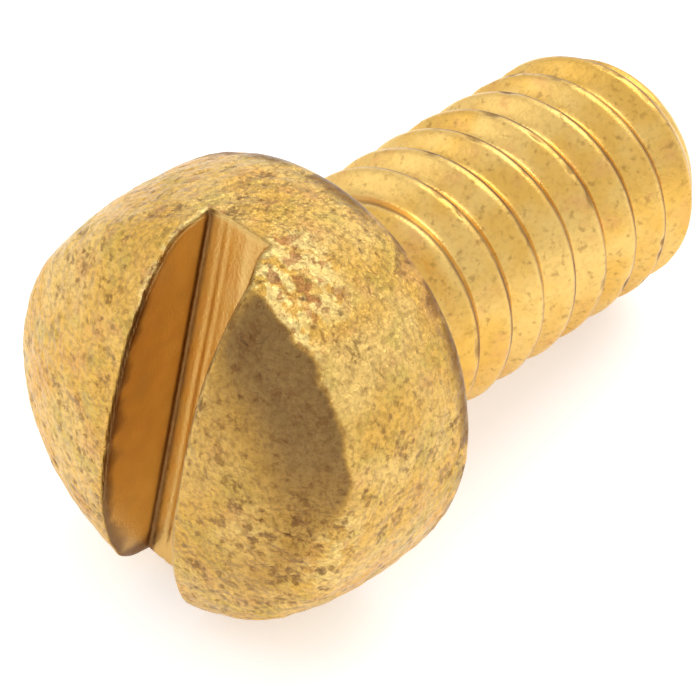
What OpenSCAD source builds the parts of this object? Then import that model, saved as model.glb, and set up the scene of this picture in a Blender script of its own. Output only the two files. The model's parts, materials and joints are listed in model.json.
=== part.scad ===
// Slotted fillister-head machine screw, 1/4-20 x 1/2, lying along +Y.
// The origin is the centre of the bearing face under the head.
// The head is on the -Y side, the threaded end on the +Y side. Lengths are in mm.

/* [Thread] */
// Major diameter of the thread
thread_d = 6.35; // [3:0.05:12]
// Distance from one crest to the next
thread_pitch = 1.27; // [0.5:0.01:2]
// Radial depth of the thread
thread_depth = 0.45; // [0.2:0.01:1.2]
// Length under the head, bearing face to the end
length = 12.4; // [6:0.1:40]
// Distance of the first crest from the bearing face, at angle zero
first_crest = 2.7; // [1.5:0.01:5]

/* [Neck] */
// Diameter of the plain neck between the head and the thread
neck_d = 5.45; // [2.5:0.05:11]
// Shortest plain length before the thread starts
neck_min = 1.5; // [1:0.05:4]
// Radius of the fillet under the head
fillet_r = 0.65; // [0.45:0.05:1.5]

/* [Head] */
// Largest diameter of the head
head_d = 10.2; // [5:0.05:20]
// Overall height of the head, bearing face to the crown
head_h = 5.25; // [2:0.05:10]
// Height of the shoulder where the side turns into the crown
shoulder_h = 3.9; // [1:0.05:8]
// How much the side draws in at the shoulder, on the radius
side_draft = 0.32; // [0:0.01:1]
// Height of the widest point of the side
side_belly = 1.35; // [0:0.05:4]
// Rounding of the edge around the bearing face
rim_r = 0.2; // [0.05:0.05:0.5]
// Radius from the side into the crown, measured across
shoulder_r = 0.2; // [0.1:0.05:0.6]
// Height of that rounded shoulder
shoulder_rise = 0.25; // [0.1:0.05:0.6]

/* [Slot] */
// Width of the driver slot
slot_w = 2; // [0.5:0.05:4]
// Depth of the driver slot below the crown
slot_depth = 2.28; // [0.5:0.01:5]
// Lean of the slot from +Z toward +X
slot_lean = 5.75; // [-90:0.25:90]

/* [End] */
// Length of the chamfer at the threaded end
chamfer_len = 0.9; // [0.1:0.05:2]
// Radial drop of that chamfer
chamfer_drop = 0.6; // [0.1:0.05:1.5]

/* [Hidden] */
thread_r = thread_d / 2;
neck_r = neck_d / 2;
head_r = head_d / 2;
// Samples around the thread and along one pitch
around = 54;
per_pitch = 12;
row_step = thread_pitch / per_pitch;
rows = floor((length - neck_min) / row_step);
thread_len = rows * row_step;
neck_len = length - thread_len;
half_crest = thread_pitch / 16;
half_root = half_crest;
flank_slope = thread_depth / (thread_pitch / 2 - half_crest - half_root);
// Turn at which the first crest starts to grow out of the neck, and over how much of a turn
crest_start = -0.34;
crest_grows_over = 0.2;
crown_r = head_r - side_draft - shoulder_r;
crown_drop = head_h - shoulder_h - shoulder_rise;
slot_overrun = 1;

function smooth01(t) = t <= 0 ? 0 : t >= 1 ? 1 : t * t * (3 - 2 * t);

// Half width of the head at a height above the bearing face.
function side_radius(h) =
    head_r - side_draft * pow((h - side_belly) / (shoulder_h - side_belly), 2);

// Height of the crown at a radius: nearly flat in the middle, steep at the shoulder.
function crown_height(r) = head_h - crown_drop * pow(r / crown_r, 3);

// Radius of the full thread, a shallow V with flat crests, d being the distance from a crest's middle.
function thread_profile(d) =
    max(thread_r - max(0, d - half_crest) * flank_slope, thread_r - thread_depth);

// Share of its full height that the crest has reached, a number of turns after angle zero.
function crest_growth(turn) = smooth01((turn - crest_start) / crest_grows_over);

// Chamfered envelope of the threaded end.
function end_envelope(z) = thread_r - chamfer_drop * max(0, z - length + chamfer_len) / chamfer_len;

// Radius of the shank at an angle in turns and a height.
function shank_radius(turn, z) =
    let (x = (z - first_crest) / thread_pitch - turn)
    let (crest = round(x))
    let (full = thread_profile(abs(x - crest) * thread_pitch))
    min(neck_r + (full - neck_r) * crest_growth(crest + turn), end_envelope(z));

// Rows follow the helix, so their height steps back by one row a few times around.
function lift(i) = let (f = (i + 0.5) * per_pitch / around) f - floor(f);
function shank_point(i, z) =
    let (r = shank_radius(i / around, z))
    [r * cos(i * 360 / around), r * sin(i * 360 / around), z];
function at(i, j) = (i % around) * (rows + 2) + j + 1;

module threaded_shank_solid() {
    points = [
        for (i = [0 : around - 1])
            for (j = [-1 : rows])
                shank_point(i, j < 0 ? neck_len : j == rows ? length : neck_len + (j + lift(i)) * row_step)
    ];
    strips = [
        for (i = [0 : around - 1])
            let (step = lift(i + 1) < lift(i) ? 1 : 0)
            each concat(
                step == 0 ? [] : [
                    [at(i, -1), at(i + 1, 0), at(i + 1, -1)],
                    [at(i, -1), at(i, 0), at(i + 1, 0)],
                    [at(i, 0), at(i + 1, 1), at(i + 1, 0)],
                    [at(i, rows - 1), at(i, rows), at(i + 1, rows)]
                ],
                [
                    for (j = [step - 1 : rows - 1 - step])
                        let (k = j + step)
                        each (step == 0 ?
                            [
                                [at(i, j), at(i + 1, j + 1), at(i + 1, j)],
                                [at(i, j), at(i, j + 1), at(i + 1, j + 1)]
                            ] : [
                                [at(i, j), at(i + 1, k + 1), at(i + 1, k)],
                                [at(i, j), at(i, j + 1), at(i + 1, k + 1)]
                            ])
                ]
            )
    ];
    caps = [
        [for (i = [0 : around - 1]) at(i, -1)],
        [for (i = [around - 1 : -1 : 0]) at(i, rows)]
    ];
    polyhedron(points = points, faces = concat(strips, caps), convexity = 10);
}

// Half section of the head, crown to bearing face, then the fillet and the neck.
module head_section() {
    crown = [for (t = [0 : 0.0625 : 1]) [crown_r * t, -crown_height(crown_r * t)]];
    shoulder = [
        for (a = [70 : -20 : 10])
            [
                crown_r + shoulder_r * cos(a),
                -(shoulder_h + shoulder_rise * sin(a))
            ]
    ];
    side = [for (h = [shoulder_h : -(shoulder_h - rim_r) / 12 : rim_r + 0.01]) [side_radius(h), -h]];
    rim_x = side_radius(rim_r) - rim_r;
    rim = [for (a = [0 : 22.5 : 90]) [rim_x + rim_r * cos(a), -rim_r + rim_r * sin(a)]];
    fillet = [
        for (a = [90 : -15 : 0])
            [neck_r + fillet_r - fillet_r * cos(a), fillet_r - fillet_r * sin(a)]
    ];
    polygon(concat(crown, shoulder, side, rim, fillet, [[neck_r, neck_len], [0, neck_len]]));
}

module head_solid() {
    difference() {
        rotate_extrude($fn = 96) head_section();
        rotate([0, 0, 90 + slot_lean])
            translate([-head_d, -slot_w / 2, -head_h - slot_overrun])
                cube([2 * head_d, slot_w, slot_depth + slot_overrun]);
    }
}

module head() {
    color([0.83, 0.66, 0.33])
        rotate([-90, 0, 0])
            head_solid();
}

module threaded_shank() {
    color([0.86, 0.69, 0.34])
        rotate([-90, 0, 0])
            threaded_shank_solid();
}

head();
threaded_shank();
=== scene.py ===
"""Looks for a brass slotted machine screw that lies on its side.

The head and the threaded shank are each one dense mesh built in millimetres in the part's own frame:
the screw's axis is Y, the slotted head is on the -Y side, and the bearing face is at y = 0.
"""

import json
import math

import bpy
import numpy as np
from mathutils import Matrix, Vector


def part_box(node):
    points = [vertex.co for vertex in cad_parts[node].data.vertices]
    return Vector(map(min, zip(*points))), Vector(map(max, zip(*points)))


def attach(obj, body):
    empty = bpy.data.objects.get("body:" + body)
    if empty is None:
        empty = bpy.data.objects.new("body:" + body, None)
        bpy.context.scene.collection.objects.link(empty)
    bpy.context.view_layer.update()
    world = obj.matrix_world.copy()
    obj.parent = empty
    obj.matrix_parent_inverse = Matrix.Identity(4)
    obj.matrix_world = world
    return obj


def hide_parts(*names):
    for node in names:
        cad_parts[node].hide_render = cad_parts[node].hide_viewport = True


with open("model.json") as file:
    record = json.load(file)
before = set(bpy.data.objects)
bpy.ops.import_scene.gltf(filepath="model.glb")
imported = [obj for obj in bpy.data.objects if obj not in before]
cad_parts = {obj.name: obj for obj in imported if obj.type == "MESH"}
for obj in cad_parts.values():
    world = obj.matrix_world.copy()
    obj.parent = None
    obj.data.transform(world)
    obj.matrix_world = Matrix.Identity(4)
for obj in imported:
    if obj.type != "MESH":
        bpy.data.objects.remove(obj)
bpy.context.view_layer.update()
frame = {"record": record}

MM = 0.001


# ---- Sizes from the frame, in millimetres ------------------------------------------------------------

def node_box(name):
    """A node's lowest and highest corners in millimetres."""
    low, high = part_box(name)
    return np.array(low) / MM, np.array(high) / MM


def mount_place(name):
    """A mount's position in millimetres."""
    mounts = {m["name"]: m for m in frame["record"]["mounts"]}
    return np.array(mounts[name]["pos_m"]) / MM


head_low, head_high = node_box("head")
shank_low, shank_high = node_box("threaded_shank")

HEAD_R = (head_high[0] - head_low[0]) / 2
HEAD_H = -head_low[1]
NECK_END = shank_low[1]
LENGTH = shank_high[1]
THREAD_R = max(shank_high[0], shank_high[2], -shank_low[0], -shank_low[2])
SLOT_FLOOR = -mount_place("drive_slot")[1]

# The frame holds boxes and mounts. The design sizes that they don't give are repeated below, and the blends
# and the battering follow the photograph.

# Head: the side bulges at the belly and draws in to the shoulder, where the crown starts.
BELLY_H = 0.26 * HEAD_H
SHOULDER_H = 0.755 * HEAD_H
SHOULDER_RISE = 0.2
SIDE_DRAFT = 0.32
CROWN_R = 0.905 * HEAD_R
CROWN_DROP = HEAD_H - SHOULDER_H - SHOULDER_RISE
SHOULDER_BLEND = 0.25
RIM_BLEND = 0.35
FILLET_BLEND = 0.8

# How far the battered head swells beyond its turned shape: on its -Z side, and toward LOW_LEFT, an (x, z).
SWELL = 0.1
SPLAY = 0.16
LOW_LEFT = (-0.85, -0.53)
SPLAY_HEIGHTS = (1.0, 3.4)

# Slot: a burr narrows it toward its +Z end, from BURR_STARTS to BURR_FULL along it.
SLOT_W = 2.0
SLOT_LEAN = math.radians(5.75)
LIP_BLEND = 0.16
BURR = 0.4
BURR_STARTS = 3.3
BURR_FULL = 4.6
BURR_DEPTHS = (-0.2, 0.9)  # below the shoulder, where it starts and where it is full

# Neck: the head's mesh carries it past NECK_END, where the shank's mesh covers it.
NECK_R = 2.725
NECK_OVERRUN = 0.3
NECK_END_BLEND = 0.3

# Thread
PITCH = THREAD_R * 0.4
THREAD_DEPTH = THREAD_R - NECK_R
HALF_CREST = PITCH / 16
FLANK_SLOPE = THREAD_DEPTH / (PITCH / 2 - 2 * HALF_CREST)
FIRST_CREST = 2.7
CHAMFER_LEN = 0.9
CHAMFER_DROP = 0.6


# ---- Noise on arrays of points -----------------------------------------------------------------------

def hashed(cell, seed):
    """A number from 0 to 1 for each whole-number cell, an array of shape (n, 3)."""
    c = cell.astype(np.int64)
    h = c[:, 0] * 73856093 ^ c[:, 1] * 19349663 ^ c[:, 2] * 83492791 ^ seed * 2654435761
    h = (h ^ (h >> 13)) * 1274126177 & 0xFFFFFFFF
    h = (h ^ (h >> 16)) * 2246822519 & 0xFFFFFFFF
    return (h & 0xFFFFFF) / float(0xFFFFFF)


def value_noise(points, seed):
    """Smooth noise from -1 to 1 with features one unit wide."""
    base = np.floor(points)
    f = points - base
    f = f * f * (3 - 2 * f)
    total = np.zeros(len(points))
    for dx in (0, 1):
        for dy in (0, 1):
            for dz in (0, 1):
                weight = np.abs(1 - dx - f[:, 0]) * np.abs(1 - dy - f[:, 1]) * np.abs(1 - dz - f[:, 2])
                total += weight * hashed(base + (dx, dy, dz), seed)
    return 2 * total - 1


def layered_noise(points, size, octaves, seed):
    """Noise whose widest features are size across, each further octave half as wide and half as strong."""
    total = np.zeros(len(points))
    for i in range(octaves):
        total += value_noise(points * 2**i / size, seed + i) / 2**i
    return total


PIT_RADIUS = 0.3
PIT_SPREAD = 0.5


def pits(points, spacing, share, seed):
    """Depth from 0 to 1 of round pits, one in a given share of the cells of a given spacing."""
    p = points / spacing
    base = np.floor(p)
    depth = np.zeros(len(points))
    for dx in (-1, 0, 1):
        for dy in (-1, 0, 1):
            for dz in (-1, 0, 1):
                cell = base + (dx, dy, dz)
                centre = cell + np.stack([hashed(cell, seed + k) for k in (1, 2, 3)], axis=1)
                radius = PIT_RADIUS + PIT_SPREAD * hashed(cell, seed + 4)
                exists = hashed(cell, seed + 5) < share
                near = np.linalg.norm(p - centre, axis=1) / radius
                depth = np.maximum(depth, np.where(exists, np.clip(1 - near**2, 0, 1) ** 1.5, 0))
    return depth


def ramp(value, low, high):
    """0 below low, 1 above high and smooth between."""
    t = np.clip((value - low) / (high - low), 0, 1)
    return t * t * (3 - 2 * t)


# ---- Shapes as fields: negative inside, about a distance in millimetres ------------------------------

def smooth_max(a, b, width):
    """The larger of two fields, rounded where they come within width of each other."""
    h = np.maximum(width - np.abs(a - b), 0) / width
    return np.maximum(a, b) + h * h * width / 4


def smooth_min(a, b, width):
    """The smaller of two fields, rounded in the same way."""
    return -smooth_max(-a, -b, width)


def across_slot(x, z):
    """Distance from the slot's middle plane."""
    return x * math.cos(SLOT_LEAN) - z * math.sin(SLOT_LEAN)


def crown_field(rho, h):
    """The crown, nearly flat in the middle, at a radius and a height above the bearing face."""
    slope = 3 * CROWN_DROP * (rho / CROWN_R) ** 2 / CROWN_R
    return (h - HEAD_H + CROWN_DROP * (rho / CROWN_R) ** 3) / np.sqrt(1 + slope * slope)


def side_field(rho, h):
    """The head's side."""
    t = (h - BELLY_H) / (SHOULDER_H - BELLY_H)
    return rho - HEAD_R + SIDE_DRAFT * t * t


def along_slot(x, z):
    """Distance along the slot from the middle, toward +Z."""
    return x * math.sin(SLOT_LEAN) + z * math.cos(SLOT_LEAN)


def slot_field(x, h, z):
    """The slot, with a burr that leans in from its +X wall at the +Z end."""
    u, v = across_slot(x, z), along_slot(x, z)
    burr = BURR * ramp(v, BURR_STARTS, BURR_FULL) * ramp(SHOULDER_H - h, *BURR_DEPTHS)
    return np.maximum(np.maximum(u - SLOT_W / 2 + burr, -u - SLOT_W / 2), SLOT_FLOOR - h)


def swelling(x, h, z):
    """How far the battered head swells beyond its turned shape, mostly on its -Z side."""
    rho = np.sqrt(x * x + z * z) + 1e-9
    low_side = ramp(-z / rho, -0.3, 0.7)
    toward = (LOW_LEFT[0] * x + LOW_LEFT[1] * z) / rho
    low_left = ramp(toward, 0.3, 0.95) * ramp(h, *SPLAY_HEIGHTS)
    return SWELL * low_side + SPLAY * low_left


def head_field(x, y, z):
    """The whole head with its slot, fillet and neck."""
    rho = np.sqrt(x * x + z * z)
    h = -y
    side = side_field(rho, h) - swelling(x, h, z)
    body = smooth_max(crown_field(rho, h), side, SHOULDER_BLEND)
    body = smooth_max(body, -h, RIM_BLEND)
    neck = smooth_max(rho - NECK_R, np.abs(y) - NECK_END - NECK_OVERRUN, NECK_END_BLEND)
    body = smooth_min(body, neck, FILLET_BLEND)
    return smooth_max(body, -slot_field(x, h, z), LIP_BLEND)


GRADIENT_STEP = 0.004


def field_gradient(field, p):
    """A field's slope at each point."""
    g = np.empty_like(p)
    for axis in range(3):
        step = np.zeros(3)
        step[axis] = GRADIENT_STEP
        g[:, axis] = (field(*(p + step).T) - field(*(p - step).T)) / (2 * GRADIENT_STEP)
    return g


# ---- From a field to a mesh: naive surface nets ------------------------------------------------------

CUBE = [(i, j, k) for i in (0, 1) for j in (0, 1) for k in (0, 1)]
CUBE_EDGES = [
    (a, b) for a in range(8) for b in range(a + 1, 8)
    if sum(abs(m - n) for m, n in zip(CUBE[a], CUBE[b])) == 1
]


def crossing_place(corners):
    """Mean place in each cell, from 0 to 1 along each axis, where the surface crosses the cell's edges."""
    place = np.zeros((len(corners), 3))
    crossings = np.zeros(len(corners))
    for a, b in CUBE_EDGES:
        crossed = (corners[:, a] < 0) != (corners[:, b] < 0)
        gap = np.where(crossed, corners[:, a] - corners[:, b], 1)
        t = np.where(crossed, corners[:, a] / gap, 0)[:, None]
        place += crossed[:, None] * ((1 - t) * CUBE[a] + t * CUBE[b])
        crossings += crossed
    return place / crossings[:, None]


def net_quads(inside, number):
    """Outward faces that join the four cells round each grid edge that the surface crosses."""
    quads = []
    for axis in range(3):
        u, v = [k for k in range(3) if k != axis]
        lead = tuple(slice(None, -1) if k == axis else slice(1, -1) for k in range(3))
        follow = tuple(slice(1, None) if k == axis else slice(1, -1) for k in range(3))
        here, there = inside[lead], inside[follow]
        for enters, flip in ((here & ~there, axis == 1), (~here & there, axis != 1)):
            at = np.argwhere(enters) + np.array([0 if k == axis else 1 for k in range(3)])
            ring = []
            for du, dv in ((0, 0), (1, 0), (1, 1), (0, 1)):
                cell = at.copy()
                cell[:, u] -= du
                cell[:, v] -= dv
                ring.append(number[tuple(cell.T)])
            quads.append(np.stack(ring[::-1] if flip else ring, axis=1))
    return np.concatenate(quads)


def surface_net(field, low, high, step):
    """Points and quads of the surface where the field is zero, one point in each cell that it crosses."""
    axes = [np.arange(a, b + step, step, dtype=np.float32) for a, b in zip(low, high)]
    value = field(*np.meshgrid(*axes, indexing="ij"))
    inside = value < 0
    n = [len(a) - 1 for a in axes]
    count = sum(inside[i : i + n[0], j : j + n[1], k : k + n[2]].astype(np.int8) for i, j, k in CUBE)
    cells = np.argwhere((count > 0) & (count < len(CUBE)))
    number = np.full(n, -1, dtype=np.int64)
    number[tuple(cells.T)] = np.arange(len(cells))
    corners = np.stack([value[tuple((cells + c).T)] for c in CUBE], axis=1)
    points = np.array([a[0] for a in axes]) + (cells + crossing_place(corners)) * step
    return points, net_quads(inside, number)


SETTLE_PASSES = 4
LEAST_SLOPE = 0.05


def settle(field, points, furthest):
    """Moves points onto the field's zero surface, each by no more than furthest."""
    start = points.copy()
    for _ in range(SETTLE_PASSES):
        g = field_gradient(field, points)
        length2 = np.maximum((g * g).sum(axis=1), LEAST_SLOPE)
        points = points - (field(*points.T) / length2)[:, None] * g
    move = points - start
    far = np.linalg.norm(move, axis=1, keepdims=True)
    return start + move * np.minimum(1, furthest / np.maximum(far, 1e-9))


# ---- Making Blender objects --------------------------------------------------------------------------

def mesh_object(name, points_mm, faces, attributes):
    """A smooth-shaded mesh piece, from millimetres, with a number per point for each attribute."""
    mesh = bpy.data.meshes.new(name)
    mesh.from_pydata((points_mm * MM).tolist(), [], faces)
    mesh.polygons.foreach_set("use_smooth", np.ones(len(mesh.polygons), dtype=bool))
    for key, values in attributes.items():
        layer = mesh.attributes.new(key, "FLOAT", "POINT")
        layer.data.foreach_set("value", np.asarray(values, dtype=np.float32))
    mesh.update()
    piece = bpy.data.objects.new(name, mesh)
    bpy.context.scene.collection.objects.link(piece)
    return piece


def add_piece(piece, node, material):
    """Gives a piece its material, and lets it stand for a CAD node on the one rigid body."""
    piece.data.materials.append(material)
    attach(piece, "root")
    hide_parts(node)


# ---- Head --------------------------------------------------------------------------------------------

HEAD_STEP = 0.055
GRID_MARGIN = 0.2
GRID_NECK_MARGIN = 0.6
LUMP_HEIGHT = 0.035
GRAIN_HEIGHT = 0.012
WIDE_PIT_DEPTH = 0.035
SMALL_PIT_DEPTH = 0.028
FLAKE_HEIGHT = 0.05
BATTERING_HEIGHT = 0.06
# Each pair is the two ends of a mask's ramp, in millimetres.
SLOT_EDGE = (0.02, 0.12)
SLOT_FLOOR_EDGE = (0.05, 0.12)
UNDERSIDE_EDGE = (-0.25, -0.05)
CORNER_DIRT_AND_SHADE = (0.05, 0.2)
WALL_TOP_ENDS = (3.0, 3.6)
STRUCK_REACH = (0.8, 1.9)
BATTERED_REACH = (0.5, 1.7)
STRUCK_PLACE = (0.39 * HEAD_R, -0.6 * HEAD_H, 0.9 * HEAD_R)
BATTERED_PLACE = (0.76 * HEAD_R, -0.86 * HEAD_H, -0.16 * HEAD_R)


def head_masks(p):
    """Three shares from 0 to 1: in the slot, on its floor, and on the plain underside and neck."""
    x, y, z = p.T
    h = -y
    slot = 1 - ramp(slot_field(x, h, z), *SLOT_EDGE)
    floor = slot * (1 - ramp(np.abs(h - SLOT_FLOOR), *SLOT_FLOOR_EDGE))
    under = ramp(y, *UNDERSIDE_EDGE)
    return slot, floor, under


# Saw marks: noise cells in a millimetre across the slot, and in one along it, and the marks' height.
COARSE_GROOVES = (3.1, 0.05, 0.013)
FINE_GROOVES = (9.0, 0.08, 0.014)
GROOVE_WANDER = 0.05


def floor_grooves(p):
    """Lengthwise saw marks on the slot's floor, a few strong ones and many fine ones."""
    u = across_slot(p[:, 0], p[:, 2]) + GROOVE_WANDER * value_noise(p / 2.5, seed=31)
    total = np.zeros(len(p))
    for (across, along, height), seed in ((COARSE_GROOVES, 7), (FINE_GROOVES, 8)):
        lanes = np.stack([u * across, np.zeros(len(p)), p[:, 2] * along], axis=1)
        total += height * value_noise(lanes, seed)
    return total


def head_dirt_and_shade(p, slot):
    """Dirt and painted shade in the slot's -X corner, a dark ragged line along the top of that wall and a
    dark ragged band round the rim under the head.
    """
    x, y, z = p.T
    h, rho = -y, np.hypot(x, z)
    u = across_slot(x, z)
    ragged = 0.5 + 0.5 * layered_noise(p, size=0.5, octaves=3, seed=67)
    # Dirt and painted shade in the corner between the -X wall and the floor.
    corner = slot * (1 - ramp(np.hypot(u + SLOT_W / 2, h - SLOT_FLOOR), *CORNER_DIRT_AND_SHADE))
    outside = np.maximum(crown_field(rho, h), side_field(rho, h))
    wall_top = slot * ramp(-u, 0.85, 0.95) * ramp(outside, -0.5 * ragged - 0.2, -0.05)
    wall_top *= 1 - ramp(along_slot(x, z), *WALL_TOP_ENDS)
    rim = ramp(y, -0.75, -0.3) * (1 - ramp(y, -0.14, -0.04)) * ramp(rho, HEAD_R - 0.8, HEAD_R - 0.4)
    rim *= ramp(ragged, 0.1, 0.6)
    return np.clip(corner + wall_top + 0.9 * rim, 0, 1)


def crown_dark_reflection(p):
    """A painted dark reflection on the +X half of the crown, heaviest just inside the shoulder."""
    x, y, z = p.T
    rho = np.hypot(x, z)
    u, v = across_slot(x, z), along_slot(x, z)
    blotchy = 0.12 * layered_noise(p, size=1.1, octaves=3, seed=71)
    soft = 0.8 * (1 - ramp(v, -0.6, 1.4))
    inside = 1 - ramp(rho + 0.5 * blotchy, CROWN_R + 0.05 - soft, CROWN_R + 0.17)
    inside *= ramp(-y, SHOULDER_H - 0.3, SHOULDER_H)
    heavy = 0.45 + 0.55 * ramp(rho, 2.4, 4.0)
    low_end = ramp(v + 3 * blotchy, -1.6, 2.8)
    inside *= ramp(v + blotchy, -3.8, -1.8)
    return inside * heavy * (0.45 + 0.55 * low_end) * ramp(u + blotchy, 0.7, 1.5)


def hammered(p):
    """Where the +Z end of the slot's +X lobe was struck and left flaky, out along the shoulder."""
    away = np.linalg.norm(p - STRUCK_PLACE, axis=1) + 0.4 * layered_noise(p, size=0.9, octaves=2, seed=73)
    edge = np.abs(-p[:, 1] - SHOULDER_H) + 0.3 * np.abs(p[:, 0] - 0.55 * HEAD_R)
    struck = np.maximum(1 - ramp(away, *STRUCK_REACH), 1 - ramp(edge, 0.15, 0.5))
    return struck * ramp(p[:, 0], 0.8, 1.2) * ramp(p[:, 2], 2.0, 3.0)


def battered(p):
    """Where the shoulder of the slot's +X lobe is rough with dark dents, from 0 to 1."""
    away = np.linalg.norm(p - BATTERED_PLACE, axis=1) + 0.6 * layered_noise(p, size=1.0, octaves=3, seed=83)
    return 1 - ramp(away, *BATTERED_REACH)


def lip_highlight(p):
    """A painted highlight on the edge that the saw turned up along the +Z end of the slot's -X wall, from 0
    to 1.
    """
    u, v = across_slot(p[:, 0], p[:, 2]), along_slot(p[:, 0], p[:, 2])
    outside = slot_field(p[:, 0], -p[:, 1], p[:, 2])
    edge = ramp(outside, 0.0, 0.05) * (1 - ramp(outside, 0.14, 0.24))
    return edge * ramp(v, 2.6, 3.4) * ramp(-u, 0.4, 0.8) * ramp(-p[:, 1], SLOT_FLOOR - 0.5, SLOT_FLOOR)


def turned_head():
    """Points, quads and unit normals of the head before its surface is roughened."""
    reach = HEAD_R + GRID_MARGIN
    low = (-reach, -HEAD_H - GRID_MARGIN, -reach)
    high = (reach, NECK_END + GRID_NECK_MARGIN, reach)
    points, quads = surface_net(head_field, low, high, HEAD_STEP)
    points = settle(head_field, points, 0.8 * HEAD_STEP)
    normals = field_gradient(head_field, points)
    normals /= np.maximum(np.linalg.norm(normals, axis=1, keepdims=True), 1e-6)
    return points, quads, normals


def build_head(material):
    """The head: a turned shape, roughened outside the slot and above the bearing face."""
    points, quads, normals = turned_head()
    slot, floor, under = head_masks(points)
    rough = (1 - slot) * (1 - under)
    patch = ramp(layered_noise(points, size=2.6, octaves=2, seed=3), -0.5, 0.9)
    lumps = LUMP_HEIGHT * layered_noise(points, size=2.4, octaves=2, seed=11)
    grain = GRAIN_HEIGHT * layered_noise(points, size=0.34, octaves=2, seed=17)
    wide_pits = pits(points, spacing=0.62, share=0.35, seed=23)
    small_pits = pits(points, spacing=0.27, share=0.5, seed=29)
    dents = WIDE_PIT_DEPTH * wide_pits + SMALL_PIT_DEPTH * small_pits * (0.4 + 0.6 * patch)
    flakes_and_highlights, battering = hammered(points) * rough, battered(points) * rough
    raised = FLAKE_HEIGHT * flakes_and_highlights + BATTERING_HEIGHT * battering
    dents += raised * layered_noise(points, size=0.26, octaves=2, seed=79)
    push = rough * (lumps + grain - dents) + 0.25 * (slot + under) * grain
    push += floor * floor_grooves(points)
    points = points + normals * push[:, None]

    head_marks = {
        "pitted": rough * np.clip(0.6 * wide_pits + small_pits * (0.5 + 0.5 * patch + battering), 0, 1),
        "smooth_cut": np.clip(slot + under, 0, 1),
        "sawn": slot,
        # dirt and painted shade
        "dirt_and_shade": head_dirt_and_shade(points, slot),
        # a painted dark reflection
        "dark_reflection": crown_dark_reflection(points) * (1 - slot),
        # flakes, with painted glints, and a painted highlight on the slot's lip
        "flakes_and_highlights": np.maximum(np.maximum(flakes_and_highlights, 0.6 * battering), lip_highlight(points)),
    }
    head = mesh_object("screw_head", points, quads.tolist(), head_marks)
    add_piece(head, "head", material)


# ---- Threaded shank ----------------------------------------------------------------------------------

AROUND = 240
PER_PITCH = 30
CREST_START, CREST_GROWS_OVER = -0.34, 0.2
CREST_BLEND = 0.07
ROOT_BLEND = 0.14
CHAMFER_BLEND = 0.12
# The shank's tube starts inside the neck, sunk below it, and then stands just proud of it.
SLEEVE = 0.25
SLEEVE_SUNK = 0.12
SLEEVE_PROUD = 0.003
WEAR_HEIGHT = 0.012
WEAR_GRAIN = 0.005
NICK_DEPTH = 0.05
# Ramp ends of the worn line on each crest and of the dirt and painted shade past it, in pitches from the
# crest's middle.
CREST_LINE = (0.02, 0.08)
DIRT_AND_SHADE_STARTS = (0.0, 0.06)
DIRT_AND_SHADE_ENDS = (0.12, 0.34)
# The end face stands END_RISE beyond the tube's last ring and is dished by END_DISH in the middle. Its rings
# have FACE_SHARES of the end's radius, and those above EDGE_SHARE round its edge.
END_RISE = 0.05
END_DISH = 0.05
EDGE_SHARE = 0.9
FACE_SHARES = (0.985, 0.96, *np.linspace(0.92, 0.04, 14))


def thread_profile(d):
    """Radius of the full thread, d being the distance from the crest's middle line."""
    flank = THREAD_R + (HALF_CREST - d) * FLANK_SLOPE
    crest = smooth_min(np.full_like(d, THREAD_R), flank, CREST_BLEND)
    return smooth_max(crest, np.full_like(d, THREAD_R - THREAD_DEPTH), ROOT_BLEND)


def end_envelope(y):
    """Radius of the chamfered end."""
    return THREAD_R - CHAMFER_DROP * np.maximum(0, y - LENGTH + CHAMFER_LEN) / CHAMFER_LEN


def shank_radius(turn, y):
    """Radius at an angle in turns and a height, and the distance past the nearest crest, in pitches."""
    t = (y - FIRST_CREST) / PITCH - turn
    crest = np.round(t)
    full = thread_profile(np.abs(t - crest) * PITCH)
    radius = NECK_R + (full - NECK_R) * ramp(crest + turn, CREST_START, CREST_START + CREST_GROWS_OVER)
    return smooth_min(radius, end_envelope(y), CHAMFER_BLEND), t - crest


def outward(turn):
    """Unit vector away from the axis at an angle in turns."""
    angle = 2 * np.pi * turn
    return np.stack([np.cos(angle), np.zeros_like(angle), -np.sin(angle)], axis=-1)


def helical_grid(start, end):
    """Column lifts, row count and faces of a tube whose rows follow the helix between two level rings."""
    rows = int((end - start) / (PITCH / PER_PITCH))
    lift = np.array([(i + 0.5) * PER_PITCH / AROUND % 1 for i in range(AROUND + 1)])

    def at(i, j):
        return (i % AROUND) * (rows + 2) + j + 1

    faces = []
    for i in range(AROUND):
        k = 1 if lift[i + 1] < lift[i] else 0
        for j in range(-1 + k, rows - k):
            faces.append((at(i + 1, j + k), at(i + 1, j + 1 + k), at(i, j + 1), at(i, j)))
        if k:
            faces.append((at(i + 1, -1), at(i + 1, 0), at(i, 0), at(i, -1)))
            faces.append((at(i + 1, 0), at(i + 1, 1), at(i, 0)))
            faces.append((at(i + 1, rows), at(i, rows), at(i, rows - 1)))
    return lift, rows, faces


def shank_tube(start, end, lift, rows):
    """Points, outward directions, last ring's radii and distances past the crest, column by column."""
    i, j = np.meshgrid(np.arange(AROUND), np.arange(-1, rows + 1), indexing="ij")
    y = start + (end - start) * np.clip((j + lift[i]) / rows, 0, 1)
    y = np.where(j < 0, start, np.where(j == rows, end, y))
    radius, past_crest = shank_radius(i / AROUND, y)
    radius += SLEEVE_PROUD - SLEEVE_SUNK * (1 - ramp(y, start, start + 0.8 * SLEEVE))
    direction = outward(i / AROUND)
    points = radius[..., None] * direction + y[..., None] * np.array([0, 1, 0])
    return points.reshape(-1, 3), direction.reshape(-1, 3), radius[:, -1], past_crest.reshape(-1)


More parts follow.
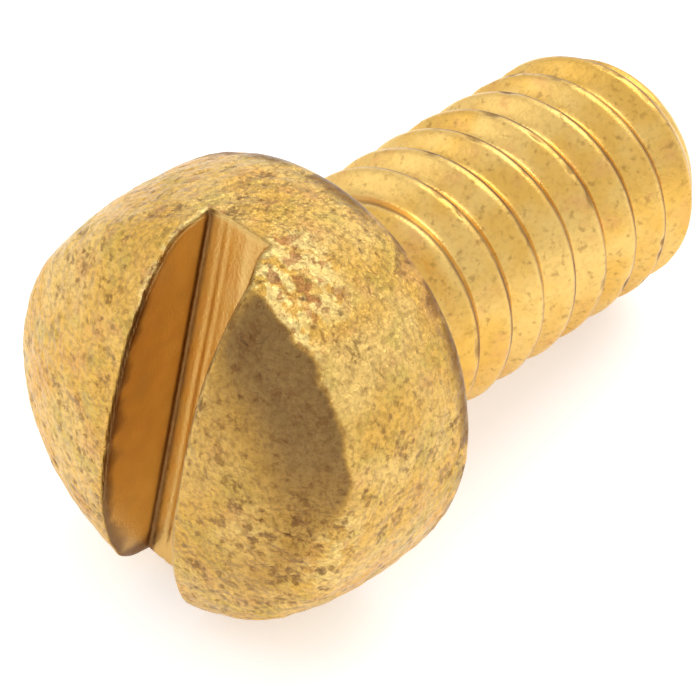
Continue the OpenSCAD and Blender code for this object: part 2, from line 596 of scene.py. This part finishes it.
def build_shank(material):
    """The threaded shank: a helical tube with closed ends, nicked along its crests."""
    start, end = NECK_END - SLEEVE, LENGTH - END_RISE
    lift, rows, faces = helical_grid(start, end)
    points, direction, end_radius, past_crest = shank_tube(start, end, lift, rows)

    exposed = ramp(points[:, 1], NECK_END, NECK_END + 0.5)
    wear = layered_noise(points, size=1.3, octaves=2, seed=41) * WEAR_HEIGHT
    wear += layered_noise(points, size=0.3, octaves=2, seed=43) * WEAR_GRAIN
    crest_line = 1 - ramp(np.abs(past_crest), *CREST_LINE)
    nicks = pits(points, spacing=0.42, share=0.3, seed=47) * crest_line
    points += direction * ((wear - NICK_DEPTH * nicks) * exposed)[:, None]

    patchy = 0.8 + 0.4 * layered_noise(points, size=1.1, octaves=3, seed=61)
    # Dirt and painted shade in the groove just past each crest.
    dirt_and_shade = ramp(past_crest, *DIRT_AND_SHADE_STARTS) * (1 - ramp(past_crest, *DIRT_AND_SHADE_ENDS))
    dirt_and_shade *= ramp(points[:, 1], NECK_END + 0.2, FIRST_CREST)
    dirt_and_shade = dirt_and_shade * np.clip(patchy, 0, 1)
    points, faces, extra = close_ends(points, faces, rows, end, end_radius)
    shank_marks = {
        "pitted": np.concatenate([nicks, np.zeros(extra)]),
        "smooth_cut": np.ones(len(points)),
        "dirt_and_shade": np.concatenate([dirt_and_shade, np.zeros(extra)]),
        "crest": np.concatenate([crest_line, np.zeros(extra)]),
    }
    shank = mesh_object("screw_threaded_shank", points, faces, shank_marks)
    add_piece(shank, "threaded_shank", material)


def close_ends(points, faces, rows, end, end_radius):
    """Adds the hidden start cap and a sheared end face of rings that shrink to a small middle polygon."""
    direction = outward(np.arange(AROUND) / AROUND)
    added = []
    previous = [i * (rows + 2) + rows + 1 for i in range(AROUND)]
    total = len(points)
    for share in FACE_SHARES:
        rise = END_RISE * (1 - share) ** 0.3 if share > EDGE_SHARE else END_RISE
        ring = direction * (end_radius * share)[:, None]
        ring[:, 1] = end + min(rise + 0.03 * (1 - share), END_RISE)
        ring[:, 1] -= END_DISH * ramp(np.array(1 - share), 0.1, 1.0)
        ring[:, 1] += 0.008 * layered_noise(ring, size=0.7, octaves=2, seed=53) * (share < 0.95)
        index = [total + k for k in range(AROUND)]
        faces += [
            (previous[(k + 1) % AROUND], index[(k + 1) % AROUND], index[k], previous[k])
            for k in range(AROUND)
        ]
        added.append(ring)
        previous = index
        total += AROUND
    faces.append(tuple(previous))
    faces.append(tuple(i * (rows + 2) for i in reversed(range(AROUND))))
    added = np.concatenate(added)
    return np.concatenate([points, added]), faces, len(added)


# ---- Materials ---------------------------------------------------------------------------------------

class Nodes:
    """Short calls for building a material's nodes."""

    def __init__(self, name):
        self.material = bpy.data.materials.new(name)
        self.material.use_nodes = True
        self.tree = self.material.node_tree
        self.shader = self.tree.nodes["Principled BSDF"]
        self.place = self.add("ShaderNodeTexCoord").outputs["Object"]

    def add(self, kind, **settings):
        node = self.tree.nodes.new(kind)
        for key, value in settings.items():
            setattr(node, key, value)
        return node

    def feed(self, socket, value):
        if isinstance(value, bpy.types.NodeSocket):
            self.tree.links.new(value, socket)
        else:
            socket.default_value = value

    def attribute(self, name):
        return self.add("ShaderNodeAttribute", attribute_name=name).outputs["Fac"]

    def noise(self, size_mm, detail):
        mapping = self.add("ShaderNodeMapping")
        self.feed(mapping.inputs["Vector"], self.place)
        mapping.inputs["Scale"].default_value = [1 / (size_mm * MM)] * 3
        noise = self.add("ShaderNodeTexNoise")
        noise.inputs["Scale"].default_value = 1.0
        noise.inputs["Detail"].default_value = detail
        self.feed(noise.inputs["Vector"], mapping.outputs["Vector"])
        return noise.outputs["Fac"]

    def span(self, value, from_low, from_high, to_low=0.0, to_high=1.0):
        node = self.add("ShaderNodeMapRange", interpolation_type="SMOOTHSTEP")
        node.inputs["From Min"].default_value = from_low
        node.inputs["From Max"].default_value = from_high
        node.inputs["To Min"].default_value = to_low
        node.inputs["To Max"].default_value = to_high
        self.feed(node.inputs["Value"], value)
        return node.outputs["Result"]

    def patches(self, size_mm, detail, low, high, least=0.0, most=1.0):
        """Noise patches of a size: least where the noise is below low, most where it is above high."""
        return self.span(self.noise(size_mm, detail), low, high, least, most)

    def math(self, operation, a, b):
        node = self.add("ShaderNodeMath", operation=operation)
        self.feed(node.inputs[0], a)
        self.feed(node.inputs[1], b)
        return node.outputs[0]

    def blend(self, share, a, b):
        node = self.add("ShaderNodeMix", data_type="RGBA")
        self.feed(node.inputs["Factor"], share)
        self.feed(node.inputs["A"], a)
        self.feed(node.inputs["B"], b)
        return node.outputs["Result"]

    def bump(self, height, distance_mm, strength, normal=None):
        node = self.add("ShaderNodeBump")
        node.inputs["Strength"].default_value = strength
        node.inputs["Distance"].default_value = distance_mm * MM
        self.feed(node.inputs["Height"], height)
        if normal is not None:
            self.feed(node.inputs["Normal"], normal)
        return node.outputs["Normal"]


def colour(r, g, b):
    return (r, g, b, 1.0)


def base_tint(n):
    """Gold with paler patches, the same on both pieces so that no seam shows on the neck."""
    return n.blend(n.patches(2.2, 3, 0.42, 0.62), GOLD, PALE_GOLD)


GOLD = colour(0.74, 0.44, 0.095)
PALE_GOLD = colour(0.8, 0.53, 0.165)
ROSE = colour(0.7, 0.36, 0.13)
OLIVE = colour(0.54, 0.42, 0.09)
AMBER = colour(0.5, 0.28, 0.06)
BROWN = colour(0.17, 0.075, 0.025)
DARK_OLIVE = colour(0.22, 0.13, 0.05)
CREAM = colour(0.96, 0.72, 0.27)
RUST = colour(0.42, 0.16, 0.06)
COPPER_CUT = colour(0.7, 0.455, 0.165)


def head_brass():
    """Worn brass with dark pits, a painted dark reflection on the crown, flakes with painted glints, a
    painted highlight on the slot's lip, dirt and painted shade, plainer and coppery in the sawn slot.
    """
    n = Nodes("head_brass")
    pitted, cut = n.attribute("pitted"), n.attribute("smooth_cut")
    dirt_and_shade, dark_reflection = n.attribute("dirt_and_shade"), n.attribute("dark_reflection")
    flakes_and_highlights = n.attribute("flakes_and_highlights")
    uncut = n.math("SUBTRACT", 1.0, cut)
    tint = base_tint(n)
    tint = n.blend(n.patches(0.7, 4, 0.5, 0.68, 0, 0.45), tint, ROSE)
    tint = n.blend(n.patches(0.8, 4, 0.5, 0.68, 0, 0.45), tint, OLIVE)
    # Pale flakes, partly painted glints, and a painted highlight on the slot's lip.
    flake_glints = n.patches(0.4, 4, 0.43, 0.5)
    tint = n.blend(n.math("MULTIPLY", flakes_and_highlights, flake_glints), tint, CREAM)
    gaps = n.math("MULTIPLY", flakes_and_highlights, n.patches(0.33, 4, 0.53, 0.6, 0, 0.7))
    tint = n.blend(gaps, tint, RUST)
    # A painted dark reflection on the crown's +X half.
    tint = n.blend(n.span(dark_reflection, 0.0, 0.6, 0, 0.9), tint, AMBER)
    tint = n.blend(n.span(dark_reflection, 0.32, 1.05, 0, 0.9), tint, DARK_OLIVE)
    clustered = n.math("MULTIPLY", n.patches(1.7, 3, 0.36, 0.62, 0.25, 1.0), uncut)
    spots = n.math("MULTIPLY", n.patches(0.26, 4, 0.56, 0.66), clustered)
    tint = n.blend(n.math("MULTIPLY", spots, 0.6), tint, BROWN)
    sandy = n.math("MULTIPLY", n.patches(0.12, 3, 0.4, 0.66, 0, 0.34), uncut)
    tint = n.blend(sandy, tint, BROWN)
    ragged_pits = n.math("MULTIPLY", pitted, n.patches(0.1, 3, 0.35, 0.65, 0.4, 1.5))
    tint = n.blend(n.span(ragged_pits, 0.2, 0.9, 0, 0.62), tint, BROWN)
    tint = n.blend(n.math("MULTIPLY", n.attribute("sawn"), 0.7), tint, COPPER_CUT)
    # Dirt and painted shade in the slot's corner, and dark lines along the wall's top and round the rim.
    tint = n.blend(n.math("MULTIPLY", dirt_and_shade, 0.9), tint, BROWN)
    n.feed(n.shader.inputs["Base Color"], tint)
    n.shader.inputs["Metallic"].default_value = 1.0
    rough = n.patches(0.5, 4, 0.3, 0.7, 0.3, 0.46)
    n.feed(n.shader.inputs["Roughness"], rough)
    sand = n.math("MULTIPLY", n.noise(0.3, 5), uncut)
    coarse = n.bump(sand, 0.26, 1.0)
    n.feed(n.shader.inputs["Normal"], n.bump(n.noise(0.06, 2), 0.02, 0.6, coarse))
    return n.material


def thread_brass():
    """Smooth brass with rosy patches and specks, paler along the crests, with dirt and painted shade beside
    them.
    """
    n = Nodes("thread_brass")
    pitted, dirt_and_shade, crest = n.attribute("pitted"), n.attribute("dirt_and_shade"), n.attribute("crest")
    tint = base_tint(n)
    tint = n.blend(n.patches(0.9, 4, 0.54, 0.72, 0, 0.5), tint, ROSE)
    tint = n.blend(n.math("MULTIPLY", crest, 0.4), tint, PALE_GOLD)
    # Dirt and painted shade past each crest.
    tint = n.blend(n.math("MULTIPLY", dirt_and_shade, 0.95), tint, BROWN)
    tint = n.blend(n.math("MULTIPLY", pitted, 0.6), tint, BROWN)
    speck = n.patches(0.2, 5, 0.56, 0.72)
    tint = n.blend(n.math("MULTIPLY", speck, 0.4), tint, BROWN)
    tint = n.blend(n.patches(0.13, 2, 0.46, 0.7, 0, 0.14), tint, BROWN)
    n.feed(n.shader.inputs["Base Color"], tint)
    n.shader.inputs["Metallic"].default_value = 1.0
    n.feed(n.shader.inputs["Roughness"], n.patches(0.6, 3, 0.3, 0.7, 0.3, 0.42))
    fine = n.bump(n.noise(0.3, 3), 0.03, 0.5)
    n.feed(n.shader.inputs["Normal"], n.bump(n.noise(0.08, 4), 0.02, 0.5, fine))
    return n.material


def floor_material():
    """White, with some emission so that it shows as plain white."""
    n = Nodes("floor_white")
    n.shader.inputs["Base Color"].default_value = colour(0.9, 0.9, 0.9)
    n.shader.inputs["Roughness"].default_value = 0.7
    n.shader.inputs["Specular IOR Level"].default_value = 0.2
    n.shader.inputs["Emission Color"].default_value = colour(1, 1, 1)
    n.shader.inputs["Emission Strength"].default_value = 0.38
    return n.material


# ---- Stage, light and camera -------------------------------------------------------------------------

# The screw rests on the belly of its head and on a crest near its end, so the floor is tilted
# against its axis.
LAST_CREST = LENGTH - CHAMFER_LEN
FLOOR_TILT = math.atan2(HEAD_R - THREAD_R, LAST_CREST + BELLY_H)
FLOOR_UP = Vector((0, -math.sin(FLOOR_TILT), math.cos(FLOOR_TILT)))
FLOOR_ALONG = Vector((0, math.cos(FLOOR_TILT), math.sin(FLOOR_TILT)))
FLOOR_SIZE_M = 4.0
FLOOR_GAP = 0.03
FLOOR_DROP = (HEAD_R + SWELL) * math.cos(FLOOR_TILT) - BELLY_H * math.sin(FLOOR_TILT) + FLOOR_GAP

CAMERA_AZIMUTH = math.radians(39.1)
CAMERA_ELEVATION = math.radians(41.64)
CAMERA_DISTANCE = 75.0
CAMERA_LENS = 168.8
CAMERA_AIM = Vector((0.91, 0.783, 0.165))
SENSOR_WIDTH = 36
CLIP_START_M = 0.005
CLIP_END_M = 20

ROOM_BRIGHTNESS = 0.96
LIGHT_AIM_M = Vector((0, 0.003, 0))


def floor_frame():
    """Rotation from floor axes (x across, y along the screw, z up) to the part's frame."""
    return Matrix((Vector((1, 0, 0)), FLOOR_ALONG, FLOOR_UP)).transposed()


def from_floor(azimuth, elevation):
    """Unit vector toward a place round the screw: azimuth 0 is the head's side, 90 degrees is +X."""
    flat = math.cos(elevation)
    return floor_frame() @ Vector((flat * math.sin(azimuth), -flat * math.cos(azimuth), math.sin(elevation)))


def look_at(obj, place, target, up):
    """Puts an object that looks along its own -Z at place, facing target."""
    back = (place - target).normalized()
    right = up.cross(back).normalized()
    turn = Matrix((right, back.cross(right), back)).transposed()
    obj.matrix_world = Matrix.Translation(place) @ turn.to_4x4()


def build_floor():
    """A level square that the screw lies on."""
    half = FLOOR_SIZE_M / 2
    corners = [(-half, -half, 0), (half, -half, 0), (half, half, 0), (-half, half, 0)]
    mesh = bpy.data.meshes.new("floor")
    mesh.from_pydata(corners, [], [(0, 1, 2, 3)])
    mesh.materials.append(floor_material())
    floor = bpy.data.objects.new("floor", mesh)
    bpy.context.scene.collection.objects.link(floor)
    floor.matrix_world = Matrix.Translation(-FLOOR_UP * FLOOR_DROP * MM) @ floor_frame().to_4x4()


def soft_light(name, azimuth, elevation, distance, size, power):
    """A square soft box facing the screw: angles in degrees, lengths in metres, power in watts."""
    light = bpy.data.lights.new(name, "AREA")
    light.size = size
    light.energy = power
    obj = bpy.data.objects.new(name, light)
    bpy.context.scene.collection.objects.link(obj)
    place = from_floor(math.radians(azimuth), math.radians(elevation)) * distance
    look_at(obj, place, LIGHT_AIM_M, FLOOR_UP)


def build_lights():
    """A plain white room, and two soft boxes."""
    world = bpy.data.worlds.new("studio")
    world.use_nodes = True
    background = world.node_tree.nodes["Background"]
    background.inputs["Color"].default_value = colour(1, 1, 1)
    background.inputs["Strength"].default_value = ROOM_BRIGHTNESS
    bpy.context.scene.world = world
    soft_light("key", azimuth=178, elevation=48, distance=0.3, size=0.2, power=0.28)
    soft_light("left_fill", azimuth=-60, elevation=40, distance=0.35, size=0.25, power=0.12)


def build_camera():
    """A long lens that looks down on the slotted end."""
    data = bpy.data.cameras.new("camera")
    data.lens = CAMERA_LENS
    data.sensor_width = SENSOR_WIDTH
    data.clip_start = CLIP_START_M
    data.clip_end = CLIP_END_M
    camera = bpy.data.objects.new("camera", data)
    bpy.context.scene.collection.objects.link(camera)
    aim = CAMERA_AIM * MM
    place = aim + from_floor(CAMERA_AZIMUTH, CAMERA_ELEVATION) * CAMERA_DISTANCE * MM
    look_at(camera, place, aim, FLOOR_UP)
    bpy.context.scene.camera = camera


# ---- Everything --------------------------------------------------------------------------------------

build_camera()
build_lights()
build_floor()
build_head(head_brass())
build_shank(thread_brass())
bpy.context.scene.view_settings.view_transform = "Standard"
